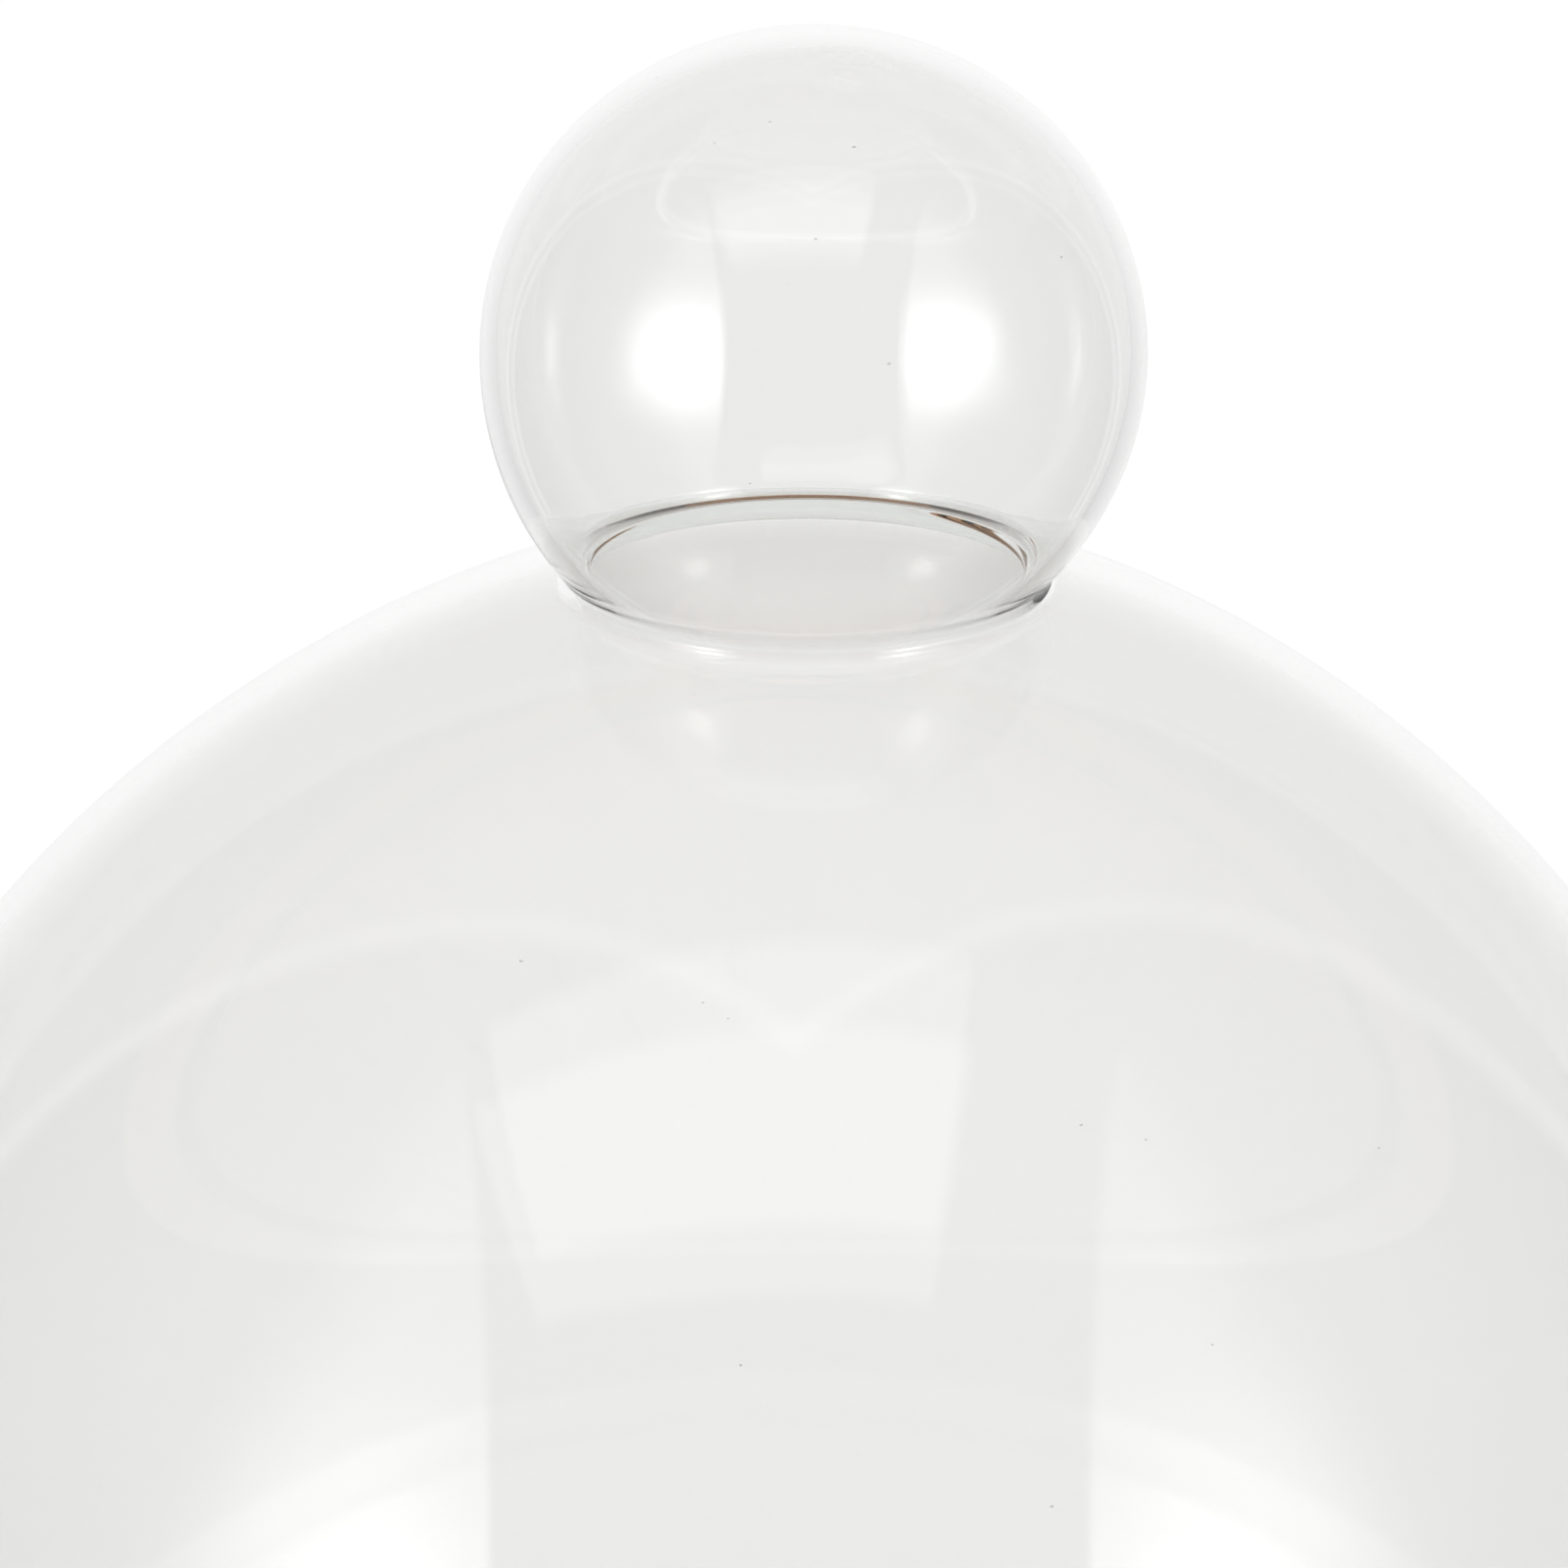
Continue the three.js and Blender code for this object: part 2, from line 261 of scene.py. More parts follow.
def turned(name, section, segments, closed=False, moved=None):
    """Turns a section, a list of (radius, height), round the Z axis. Points on the axis become one vertex.
    closed joins the last point to the first. moved(place, index) may shift each vertex."""
    vertices, rings, faces = [], [], []
    for index, point in enumerate(section):
        on_axis = point.x < 1e-7
        count = 1 if on_axis else segments
        ring = []
        for k in range(count):
            turn = math.tau * k / segments
            place = Vector((point.x * math.cos(turn), point.x * math.sin(turn), point.y))
            ring.append(len(vertices))
            vertices.append(moved(place, index) if moved else place)
        rings.append(ring)
    pairs = list(zip(rings, rings[1:])) + ([(rings[-1], rings[0])] if closed else [])
    for low, high in pairs:
        for k in range(segments):
            a, b = low[k % len(low)], low[(k + 1) % len(low)]
            c, d = high[(k + 1) % len(high)], high[k % len(high)]
            corners = [v for i, v in enumerate((a, b, c, d)) if v not in (a, b, c, d)[:i]]
            faces.append(corners)
    mesh = bpy.data.meshes.new(name)
    mesh.from_pydata([tuple(v) for v in vertices], [], faces)
    mesh.validate()
    mesh.shade_smooth()
    piece = bpy.data.objects.new(name, mesh)
    bpy.context.scene.collection.objects.link(piece)
    return piece


print("sections are turned round the Z axis, anticlockwise seen from above")

# %% [markdown]
# ## Marks of the hand
#
# Nothing blown is exact. The ball leans a little from the dome's axis, and the wall swells by a few
# hundredths of a millimetre. That is far too little to see in the outline, but a reflection shows it at
# once. Both faces share the swell: where they wave apart, the wall turns into weak lenses and the outline
# frays. Near the ring the pull of the tools left a few fine steps. A smooth noise that depends only on
# place gives the same glass on every run.

# %% Lean, waves and tool rings
LEAN = 2.5 * MM
LEAN_FROM = SHOULDER_START + 80 * MM
WAVE = 0.03 * MM
WALL_WAVE = 0.006 * MM
WAVE_LENGTH = 52 * MM
TOOL_RING_DEPTH = 0.004 * MM
TOOL_RING_PITCH = 1.1 * MM


def wave(place, seed):
    """A gentle swell between -1 and 1."""
    spot = place / WAVE_LENGTH + Vector((seed, 2 * seed, 0))
    return noise.noise(spot) + 0.35 * noise.noise(spot * 2.3)


def leaned(place):
    shift = LEAN * eased(LEAN_FROM, BALL_CENTRE, place.z)
    return place + Vector((shift, 0, 0))


def tool_rings(place):
    near = math.exp(-((place.z - crease.y) / (5 * MM)) ** 2)
    return TOOL_RING_DEPTH * near * math.sin(math.tau * place.z / TOOL_RING_PITCH)


print("the ball leans", LEAN / MM, "mm to the right of the dome's axis")

# %% [markdown]
# ## The seal
#
# A hollow ball is blown through a hole, and the hole is closed last, in a flame. What stays is a small
# swirl: a dimple, a raised lip that is stronger on one side, and a fainter second turn round it. Inside, a
# drop of glass hangs a little. The frame says where the seal sits, and both faces of the ball are pushed
# along that direction.

# %% Shape of the seal
seal_low, seal_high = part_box("seal_button")
seal_way = ((seal_low + seal_high) / 2 - Vector((0, 0, BALL_CENTRE))).normalized()
seal_turn = seal_way.to_track_quat("Z", "Y").inverted()
SEAL_REACH = 8 * MM
SWIRL_SHIFT = 0.35 * MM


def seal_polar(place):
    """Distance from the seal along the ball, and the angle round it."""
    local = seal_turn @ (place - Vector((0, 0, BALL_CENTRE)))
    return math.atan2(math.hypot(local.x, local.y), local.z) * BALL_RADIUS, math.atan2(local.y, local.x)


def bell_curve(x, centre, width):
    return math.exp(-((x - centre) / width) ** 2)


def seal_outside(place):
    reach, turn = seal_polar(place)
    if reach > SEAL_REACH:
        return 0.0
    swirl = reach - SWIRL_SHIFT * math.cos(turn - 0.6)
    dimple = -0.09 * bell_curve(swirl, 0, 1.4 * MM)
    lip = 0.06 * bell_curve(swirl, 2.6 * MM, 0.9 * MM) * (0.65 + 0.35 * math.cos(turn - 2.4))
    second = 0.03 * bell_curve(swirl, 4.6 * MM, 0.9 * MM) * (0.6 + 0.4 * math.cos(turn + 0.7))
    return (dimple + lip + second) * MM


def seal_inside(place):
    reach, turn = seal_polar(place)
    if reach > SEAL_REACH:
        return 0.0
    drop = -0.14 * bell_curve(reach, 0, 2.8 * MM)
    return (drop + 0.03 * math.cos(2 * turn) * bell_curve(reach, 4.4 * MM, 1.3 * MM)) * MM


print("the seal lies", round(math.degrees(seal_way.angle(Vector((0, 0, 1)))), 1), "degrees off the top")

# %% [markdown]
# ## Blowing it up
#
# The section runs down the outside, round the rim and up the inside. Each point of the turned skin is then
# pushed along the way its face looks, by the swell, the tool rings and the seal, and leaned with the ball.
# The skin closes on the axis at both ends, so it is one body of glass with air on both sides of the wall.

# %% Blow the glass
GLASS_SEGMENTS = 264
section = outside[::-1] + [rim_point] + inside
last_outside = len(outside)


def outward(index):
    """The way the glass's section faces at one of its points, as (radius, height)."""
    ahead = section[min(index + 1, len(section) - 1)] - section[max(index - 1, 0)]
    return Vector((ahead.y, -ahead.x)).normalized() * -1


def shaped_by_hand(place, index):
    """Both faces share the slow swell. Only the inner face has a little of its own, so the wall changes."""
    out = outward(index)
    climb = out.y if place.xy.length > 0 else 1
    way = Vector((place.x, place.y, 0)).normalized() * out.x + Vector((0, 0, climb))
    if index < last_outside:
        push = WAVE * wave(place, 3.1) + tool_rings(place)
        if place.z > BALL_CENTRE:
            push += seal_outside(place)
    else:
        push = -WAVE * wave(place, 3.1) + WALL_WAVE * wave(place, 11.7)
        if place.z > BALL_CENTRE:
            push -= seal_inside(place)
    return leaned(place + way * push)


def shaped_backwards(place, index):
    """The skin is turned from the inner end of the section, so that its faces look out of the glass."""
    return shaped_by_hand(place, len(section) - 1 - index)


dome_glass = turned("dome_glass", section[::-1], GLASS_SEGMENTS, moved=shaped_backwards)
print("the glass has", len(dome_glass.data.polygons), "faces")

# %% [markdown]
# ## Seeds
#
# Old furnaces left small bubbles in glass, called seeds, and a few are still prized in hand-made ware. A
# seed is a hollow, so here each is a tiny closed shell whose faces look inwards, set in the middle of the
# wall. They are part of the glass's own mesh. A fixed seed for the random numbers puts them in the same
# places on every run.

# %% Set seeds into the wall
SEED_COUNT = 46
SEED_RADIUS = 0.08 * MM
SEED_SPREAD = 0.03 * MM


def wall_middle(polar, turn, on_ball):
    """A place in the middle of the wall, on the ball or on the shoulder."""
    if on_ball:
        point = arc_place(BALL_MIDDLE, BALL_RADIUS - ball_wall(polar) / 2, polar)
    else:
        point = arc_place(SHOULDER_CENTRE, SHOULDER_RADIUS - shoulder_wall(polar) / 2, polar)
    return leaned(Vector((point.x * math.cos(turn), point.x * math.sin(turn), point.y)))


def add_seeds(piece):
    chance = random.Random(18)
    shape = bmesh.new()
    shape.from_mesh(piece.data)
    for i in range(SEED_COUNT):
        on_ball = i % 3 == 0
        polar = math.radians(chance.uniform(20, 100) if on_ball else chance.uniform(26, 84))
        place = wall_middle(polar, chance.uniform(0, math.tau), on_ball)
        size = SEED_RADIUS + chance.uniform(-SEED_SPREAD, SEED_SPREAD)
        stretch = Matrix.Diagonal((size, size * chance.uniform(1.2, 2.2), size, 1))
        turn = Matrix.Rotation(math.atan2(place.y, place.x), 4, "Z")
        made = bmesh.ops.create_icosphere(shape, subdivisions=2, radius=1,
                                          matrix=Matrix.Translation(place) @ turn @ stretch)
        faces = {f for v in made["verts"] for f in v.link_faces}
        for f in faces:
            f.smooth = True
        bmesh.ops.reverse_faces(shape, faces=list(faces))
    shape.to_mesh(piece.data)
    shape.free()


add_seeds(dome_glass)
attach(dome_glass, "dome")
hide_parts("bell_wall", "neck_collar", "ball_knob", "seal_button")
print("set", SEED_COUNT, "seeds into the wall")

# %% [markdown]
# ## Building materials from nodes
#
# A material is a small graph. These helpers place a node, set its plain values and link its inputs, so that
# each finish below reads as a list of what it is made of. A group gets its sockets through its interface.

# %% Node helpers


def add(tree, kind, label="", values=None, **settings):
    """Places a node. values sets or links inputs by name or number; settings are the node's own options."""
    node = tree.nodes.new(kind)
    node.label = label
    for key, value in settings.items():
        setattr(node, key, value)
    for key, value in (values or {}).items():
        if isinstance(value, bpy.types.NodeSocket):
            tree.links.new(value, node.inputs[key])
        else:
            node.inputs[key].default_value = value
    return node


def group(name, inputs, outputs):
    """A new node group with named sockets, given as {name: default} and {name: kind}."""
    tree = bpy.data.node_groups.new(name, "ShaderNodeTree")
    for label, default in inputs.items():
        kind = "NodeSocketColor" if isinstance(default, tuple) else "NodeSocketFloat"
        tree.interface.new_socket(label, in_out="INPUT", socket_type=kind).default_value = default
    for label, kind in outputs.items():
        tree.interface.new_socket(label, in_out="OUTPUT", socket_type=kind)
    return tree, tree.nodes.new("NodeGroupInput").outputs, tree.nodes.new("NodeGroupOutput").inputs


def place_group(tree, shared, values):
    node = tree.nodes.new("ShaderNodeGroup")
    node.node_tree = shared
    for key, value in values.items():
        if isinstance(value, bpy.types.NodeSocket):
            tree.links.new(value, node.inputs[key])
        else:
            node.inputs[key].default_value = value
    return node.outputs


def maths(tree, operation, *values):
    node = add(tree, "ShaderNodeMath", operation=operation)
    for i, value in enumerate(values):
        if isinstance(value, bpy.types.NodeSocket):
            tree.links.new(value, node.inputs[i])
        else:
            node.inputs[i].default_value = value
    return node.outputs[0]


def mixed(tree, factor, first, second):
    node = add(tree, "ShaderNodeMix", data_type="RGBA")
    for key, value in ((0, factor), (6, first), (7, second)):
        if isinstance(value, bpy.types.NodeSocket):
            tree.links.new(value, node.inputs[key])
        else:
            node.inputs[key].default_value = value
    return node.outputs[2]


def finish_of(name):
    """A new material. Returns the material, its tree and its Principled shader."""
    material = bpy.data.materials.new(name)
    material.use_nodes = True
    tree = material.node_tree
    shader = next(n for n in tree.nodes if n.type == "BSDF_PRINCIPLED")
    return material, tree, shader


def surface_of(tree):
    """The socket that a shader is plugged into, at the end of the graph."""
    return next(n for n in tree.nodes if n.type == "OUTPUT_MATERIAL").inputs["Surface"]


print("helpers for nodes are ready")

# %% [markdown]
# ## Three effects that several finishes share
#
# *Slow change* makes a colour drift over the surface, because no real stock is even. *Rubbed edges* finds
# the places where hands and cloths polish a piece, from how pointed the surface is. *Settled dust* lies
# where a surface faces up. Each is a group with its own inputs, built once.

# %% Shared groups


def make_slow_change():
    tree, given, out = group("slow change", {"Scale": 20.0, "Amount": 0.2, "Color": (0.5, 0.5, 0.5, 1.0)},
                             {"Color": "NodeSocketColor", "Mask": "NodeSocketFloat"})
    place = add(tree, "ShaderNodeTexCoord").outputs["Object"]
    clouds = add(tree, "ShaderNodeTexNoise", values={"Vector": place, "Scale": given["Scale"], "Detail": 4.0})
    signed = maths(tree, "MULTIPLY_ADD", clouds.outputs["Fac"], 2.0, -1.0)
    factor = maths(tree, "MULTIPLY_ADD", signed, given["Amount"], 1.0)
    shade = add(tree, "ShaderNodeHueSaturation", values={"Color": given["Color"], "Value": factor})
    tree.links.new(shade.outputs[0], out["Color"])
    tree.links.new(clouds.outputs["Fac"], out["Mask"])
    return tree


def make_rubbed_edges():
    tree, given, out = group("rubbed edges", {"From": 0.52, "To": 0.6, "Breakup": 60.0},
                             {"Mask": "NodeSocketFloat"})
    pointed = add(tree, "ShaderNodeNewGeometry").outputs["Pointiness"]
    edge = add(tree, "ShaderNodeMapRange", values={0: pointed, 1: given["From"], 2: given["To"]})
    place = add(tree, "ShaderNodeTexCoord").outputs["Object"]
    clouds = {"Vector": place, "Scale": given["Breakup"], "Detail": 5.0}
    broken = add(tree, "ShaderNodeTexNoise", values=clouds)
    kept = add(tree, "ShaderNodeMapRange", values={0: broken.outputs["Fac"], 1: 0.35, 2: 0.65})
    tree.links.new(maths(tree, "MULTIPLY", edge.outputs[0], kept.outputs[0]), out["Mask"])
    return tree


def make_settled_dust():
    tree, given, out = group("settled dust", {"Amount": 0.1, "Scale": 900.0}, {"Mask": "NodeSocketFloat"})
    facing = add(tree, "ShaderNodeNewGeometry").outputs["Normal"]
    up = add(tree, "ShaderNodeSeparateXYZ", values={0: facing}).outputs["Z"]
    lying = add(tree, "ShaderNodeMapRange", values={0: up, 1: 0.5, 2: 1.0}).outputs[0]
    place = add(tree, "ShaderNodeTexCoord").outputs["Object"]
    specks = add(tree, "ShaderNodeTexVoronoi", values={"Vector": place, "Scale": given["Scale"]})
    speck = add(tree, "ShaderNodeMapRange", values={0: specks.outputs["Distance"], 1: 0.22, 2: 0.08})
    drift = add(tree, "ShaderNodeTexNoise", values={"Vector": place, "Scale": 30.0})
    patches = add(tree, "ShaderNodeMapRange", values={0: drift.outputs["Fac"], 1: 0.4, 2: 0.7})
    dust = maths(tree, "MULTIPLY", maths(tree, "MULTIPLY", speck.outputs[0], patches.outputs[0]), lying)
    tree.links.new(maths(tree, "MULTIPLY", dust, given["Amount"]), out["Mask"])
    return tree


SLOW_CHANGE, RUBBED_EDGES, SETTLED_DUST = make_slow_change(), make_rubbed_edges(), make_settled_dust()
print("made the groups", [g.name for g in (SLOW_CHANGE, RUBBED_EDGES, SETTLED_DUST)])

# %% [markdown]
# ## The finish of the glass
#
# Clear glass has hardly a colour. What the eye reads is how it bends what lies behind, how its two faces
# mirror the lamps, and the small faults in its skin: hairlines from wiping, a few smears where the ball is
# held, and fine cords that follow the turning. The faults go into the roughness and a very shallow bump.
# Lamps must reach what stands under the dome, so for shadow rays the glass steps aside for a nearly clear
# shader. The same way out serves a ray that is caught in the wall. In real glass it leaks out at the first
# fault; without a way out it would run on until the renderer gives up, and the ring would look black.

# %% Clear blown glass
GLASS_BEND = 1.5
GLASS_TINT = (0.970, 0.974, 0.967, 1.0)
GLASS_SHADE = (0.955, 0.96, 0.955, 1.0)
LAST_BOUNCE = 9.5


def make_blown_glass():
    material, tree, shader = finish_of("clear_blown_glass")
    place = add(tree, "ShaderNodeTexCoord").outputs["Object"]
    flat = add(tree, "ShaderNodeMapping", values={"Vector": place, "Scale": (6.0, 6.0, 260.0)})
    cords = add(tree, "ShaderNodeTexNoise", "cords", {"Vector": flat.outputs[0], "Scale": 1.0, "Detail": 3.0})
    hair = add(tree, "ShaderNodeTexVoronoi", "hairlines", {"Vector": place, "Scale": 11.0},
               feature="DISTANCE_TO_EDGE")
    line = add(tree, "ShaderNodeMapRange", values={0: hair.outputs["Distance"], 1: 0.0022, 2: 0.0})
    rare = add(tree, "ShaderNodeTexNoise", values={"Vector": place, "Scale": 16.0, "Detail": 2.0})
    here = add(tree, "ShaderNodeMapRange", values={0: rare.outputs["Fac"], 1: 0.64, 2: 0.68})
    scratch = maths(tree, "MULTIPLY", line.outputs[0], here.outputs[0])
    height = maths(tree, "MULTIPLY_ADD", scratch, -1.0, maths(tree, "MULTIPLY", cords.outputs["Fac"], 0.3))
    bump = add(tree, "ShaderNodeBump", values={"Height": height, "Strength": 0.06, "Distance": 0.00004})
    drift = place_group(tree, SLOW_CHANGE, {"Scale": 55.0, "Amount": 0.0})
    smear = add(tree, "ShaderNodeMapRange", values={0: drift["Mask"], 1: 0.66, 2: 0.8, 4: 0.012})
    tree.links.new(smear.outputs[0], shader.inputs["Roughness"])
    tree.links.new(bump.outputs[0], shader.inputs["Normal"])
    shader.inputs["Base Color"].default_value = GLASS_TINT
    shader.inputs["IOR"].default_value = GLASS_BEND
    shader.inputs["Transmission Weight"].default_value = 1.0
    clear = add(tree, "ShaderNodeBsdfTransparent", values={"Color": GLASS_SHADE})
    path = add(tree, "ShaderNodeLightPath").outputs
    caught = maths(tree, "GREATER_THAN", path["Ray Depth"], LAST_BOUNCE)
    passing = maths(tree, "MAXIMUM", path["Is Shadow Ray"], caught)
    ways = {0: passing, 1: shader.outputs[0], 2: clear.outputs[0]}
    both = add(tree, "ShaderNodeMixShader", values=ways)
    tree.links.new(both.outputs[0], surface_of(tree))
    return material


dome_glass.data.materials.append(make_blown_glass())
print("the glass bends light by", GLASS_BEND)

# %% [markdown]
# ## The room
#
# The dome stands on a plain pale floor. What a clear dome shows is mostly the room: a white sweep behind
# it, a dim room in front, a tall soft lamp at each side and two pale panels overhead that overlap. Each is
# a mirror image painted into the world by direction, as a function of where a ray goes: two lamps, two
# panels and the sweep.

# %% Images in the room
ROOM_DIM = 0.04
SWEEP_BRIGHT = 0.77
SWEEP_FALL = 1.5
SWEEP_EDGE = 0.16
LAMP_EDGE = 0.53
LAMP_WAY = Vector((0.693, -0.625, 0.217)).normalized()
LAMP_CORE, LAMP_CORE_WIDTH = 13.0, math.radians(5.4)
LAMP_GLOW, LAMP_GLOW_WIDTH = 2.3, math.radians(17.8)
LAMP_CLOTH = 0.5
NEAR_PANEL = (-0.62, 0.33, -0.75, -0.18)
FAR_PANEL = (-0.56, 0.31, -0.58, -0.02)
PANEL_BRIGHT = 0.46
PANEL_BLUR = 0.01
STRIP_BRIGHT = 0.38


def dot(tree, direction, way):
    node = add(tree, "ShaderNodeVectorMath", operation="DOT_PRODUCT", values={0: direction, 1: tuple(way)})
    return node.outputs["Value"]


def rise(tree, value, low, high):
    """0 below low, 1 above high; with low above high it falls instead."""
    ends = {0: value, 1: low, 2: high}
    return add(tree, "ShaderNodeMapRange", values=ends, interpolation_type="SMOOTHSTEP").outputs[0]


def product(tree, *values):
    result = values[0]
    for value in values[1:]:
        result = maths(tree, "MULTIPLY", result, value)
    return result


def lamp_images(tree, direction):
    """A tall lamp at each side, with a hard edge towards the middle, a hot core and a tapering glow."""
    axes = add(tree, "ShaderNodeSeparateXYZ", values={0: direction}).outputs
    aside = maths(tree, "ABSOLUTE", axes["X"])
    folded = add(tree, "ShaderNodeCombineXYZ", values={"X": aside, "Y": axes["Y"], "Z": axes["Z"]}).outputs[0]
    lean = maths(tree, "MULTIPLY", maths(tree, "MAXIMUM", maths(tree, "SUBTRACT", axes["Z"], 0.6), 0.0), 0.8)
    cloth = product(tree, rise(tree, aside, LAMP_EDGE - 0.012, LAMP_EDGE + 0.012),
                    rise(tree, maths(tree, "SUBTRACT", axes["Y"], lean), -0.15, -0.44),
                    rise(tree, axes["Z"], -0.3, 0.0))
    away = maths(tree, "SUBTRACT", 1.0, dot(tree, folded, LAMP_WAY))
    core = maths(tree, "EXPONENT", maths(tree, "DIVIDE", away, -LAMP_CORE_WIDTH ** 2 / 2))
    glow = maths(tree, "EXPONENT", maths(tree, "DIVIDE", away, -LAMP_GLOW_WIDTH ** 2 / 2))
    light = maths(tree, "MULTIPLY_ADD", glow, LAMP_GLOW, LAMP_CLOTH)
    return product(tree, maths(tree, "MULTIPLY_ADD", core, LAMP_CORE, light), cloth)


def panel_image(tree, direction, panel):
    """A flat panel overhead: how far it reaches left, right, near and far for each unit of height."""
    left, right, near, far = panel
    up = maths(tree, "MAXIMUM", dot(tree, direction, (0, 0, 1)), 0.05)
    x = maths(tree, "DIVIDE", dot(tree, direction, (1, 0, 0)), up)
    y = maths(tree, "DIVIDE", dot(tree, direction, (0, 1, 0)), up)
    across = product(tree, rise(tree, x, left - PANEL_BLUR, left + PANEL_BLUR),
                     rise(tree, x, right + PANEL_BLUR, right - PANEL_BLUR))
    deep = product(tree, rise(tree, y, near - PANEL_BLUR, near + PANEL_BLUR),
                   rise(tree, y, far + PANEL_BLUR, far - PANEL_BLUR))
    return product(tree, across, deep, PANEL_BRIGHT)


def sweep_image(tree, direction):
    """The white sweep is brightest straight behind the dome, and ends along a wedge that widens upwards."""
    behind = maths(tree, "POWER", maths(tree, "MAXIMUM", dot(tree, direction, (0, 1, 0)), 0.0), SWEEP_FALL)
    aside = maths(tree, "MULTIPLY", maths(tree, "ABSOLUTE", dot(tree, direction, (1, 0, 0))), 0.78)
    deep = maths(tree, "SUBTRACT", dot(tree, direction, (0, 1, 0.2)), aside)
    wedge = maths(tree, "MULTIPLY", rise(tree, deep, -0.015, 0.015), SWEEP_EDGE)
    strip = product(tree, rise(tree, deep, -0.045, -0.015), rise(tree, deep, 0.03, 0.0), STRIP_BRIGHT)
    edge = maths(tree, "ADD", wedge, strip)
    return maths(tree, "ADD", maths(tree, "MULTIPLY_ADD", behind, SWEEP_BRIGHT, ROOM_DIM), edge)


print("the room has a sweep, two side lamps and two panels overhead")

# %% [markdown]
# ## Who sees the room
#
# Only a ray that has met a shiny face sees the painted room. Everything else sees an even white, which
# keeps the background plain from every side. The floor does the same in reverse: it is there for the eye
# and for shadows, and mirrored rays pass it, or the dome would show a second horizon. A ray that was
# mirrored more than twice has lost its way in the wall, and it too sees plain white.

# %% Paint the room
FLOOR_RADIUS = 12.0


def met_a_mirror(tree):
    """1 for a ray that was mirrored once or twice since it left the eye, and left a shiny piece last."""
    path = add(tree, "ShaderNodeLightPath").outputs
    once = maths(tree, "GREATER_THAN", path["Glossy Depth"], 0.5)
    often = maths(tree, "GREATER_THAN", path["Glossy Depth"], 2.5)
    mirrored = maths(tree, "SUBTRACT", once, often)
    shiny = maths(tree, "MAXIMUM", path["Is Glossy Ray"], path["Is Transmission Ray"])
    return maths(tree, "MULTIPLY", mirrored, shiny)


def make_room():
    world = bpy.data.worlds.new("studio_room")
    bpy.context.scene.world = world
    world.use_nodes = True
    tree = world.node_tree
    direction = add(tree, "ShaderNodeTexCoord").outputs["Generated"]
    near_panel = panel_image(tree, direction, NEAR_PANEL)
    panels = maths(tree, "ADD", near_panel, panel_image(tree, direction, FAR_PANEL))
    light = maths(tree, "ADD", lamp_images(tree, direction), panels)
    light = maths(tree, "ADD", light, sweep_image(tree, direction))
    seen = mixed(tree, met_a_mirror(tree), (1.0, 1.0, 1.0, 1.0), light)
    path = add(tree, "ShaderNodeLightPath").outputs
    looking = maths(tree, "MAXIMUM", path["Is Camera Ray"],
                    maths(tree, "MAXIMUM", path["Is Glossy Ray"], path["Is Transmission Ray"]))
    background = next(n for n in tree.nodes if n.type == "BACKGROUND")
    tree.links.new(maths(tree, "MULTIPLY_ADD", looking, -0.05, 1.05), background.inputs["Strength"])
    tree.links.new(seen, background.inputs["Color"])


def make_floor():
    mesh = bpy.data.meshes.new("studio_floor")
    shape = bmesh.new()
    bmesh.ops.create_circle(shape, cap_ends=True, segments=96, radius=FLOOR_RADIUS)
    shape.to_mesh(mesh)
    shape.free()
    floor = bpy.data.objects.new("studio_floor", mesh)
    bpy.context.scene.collection.objects.link(floor)
    material, tree, shader = finish_of("pale_floor")
    even = place_group(tree, SLOW_CHANGE, {"Scale": 1.5, "Amount": 0.02, "Color": (0.97, 0.97, 0.97, 1.0)})
    tree.links.new(even["Color"], shader.inputs["Base Color"])
    shader.inputs["Roughness"].default_value = 0.9
    shader.inputs["Specular IOR Level"].default_value = 0.0
    clear = add(tree, "ShaderNodeBsdfTransparent")
    ways = {0: met_a_mirror(tree), 1: shader.outputs[0], 2: clear.outputs[0]}
    both = add(tree, "ShaderNodeMixShader", values=ways)
    tree.links.new(both.outputs[0], surface_of(tree))
    mesh.materials.append(material)


make_room()
make_floor()
print("the floor is", 2 * FLOOR_RADIUS, "m across")

# %% [markdown]
# ## Softening a section
#
# Hardly any real edge is sharp: a turner breaks it with a touch of the tool, a mould has a radius. This
# helper takes the corners of a section and a radius for each, and puts a short curve in every corner. It
# also adds points along the straight runs, close to the curves, so that the smooth shading of an edge
# doesn't spread over a flat.

# %% Softened sections
SUPPORT = 0.15 * MM


def softened(corners, radii, run=4 * MM, steps=5):
    """corners are (radius, height) in mm; radii belong to the corners between the first and the last."""
    corners = [Vector(c) * MM for c in corners]
    curves = [[corners[0]]]
    for before, corner, after, radius in zip(corners, corners[1:], corners[2:], radii):
        back, ahead = (before - corner).normalized(), (after - corner).normalized()
        cut = radius * MM / math.tan(back.angle(ahead) / 2)
        start, end = corner + back * cut, corner + ahead * cut
        ts = [i / steps for i in range(steps + 1)]
        curves.append([start * (1 - t) ** 2 + corner * (2 * t * (1 - t)) + end * t ** 2 for t in ts])
    curves.append([corners[-1]])
    points = list(curves[0])
    for left, right in zip(curves, curves[1:]):
        start, end = left[-1], right[0]
        length = (end - start).length
        if length > 3 * SUPPORT:
            count = max(1, round(length / run))
            places = [SUPPORT / length] + [i / count for i in range(1, count)] + [1 - SUPPORT / length]
            points += [start.lerp(end, t) for t in places]
        points += right
    return points


def finish_piece(piece, material, slot, *nodes):
    """Gives a piece its material, lets it ride on the base, and lets it stand for nodes of the frame."""
    piece.data.materials.append(material)
    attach(piece, "base")
    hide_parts(*nodes)


print("corners can be softened")

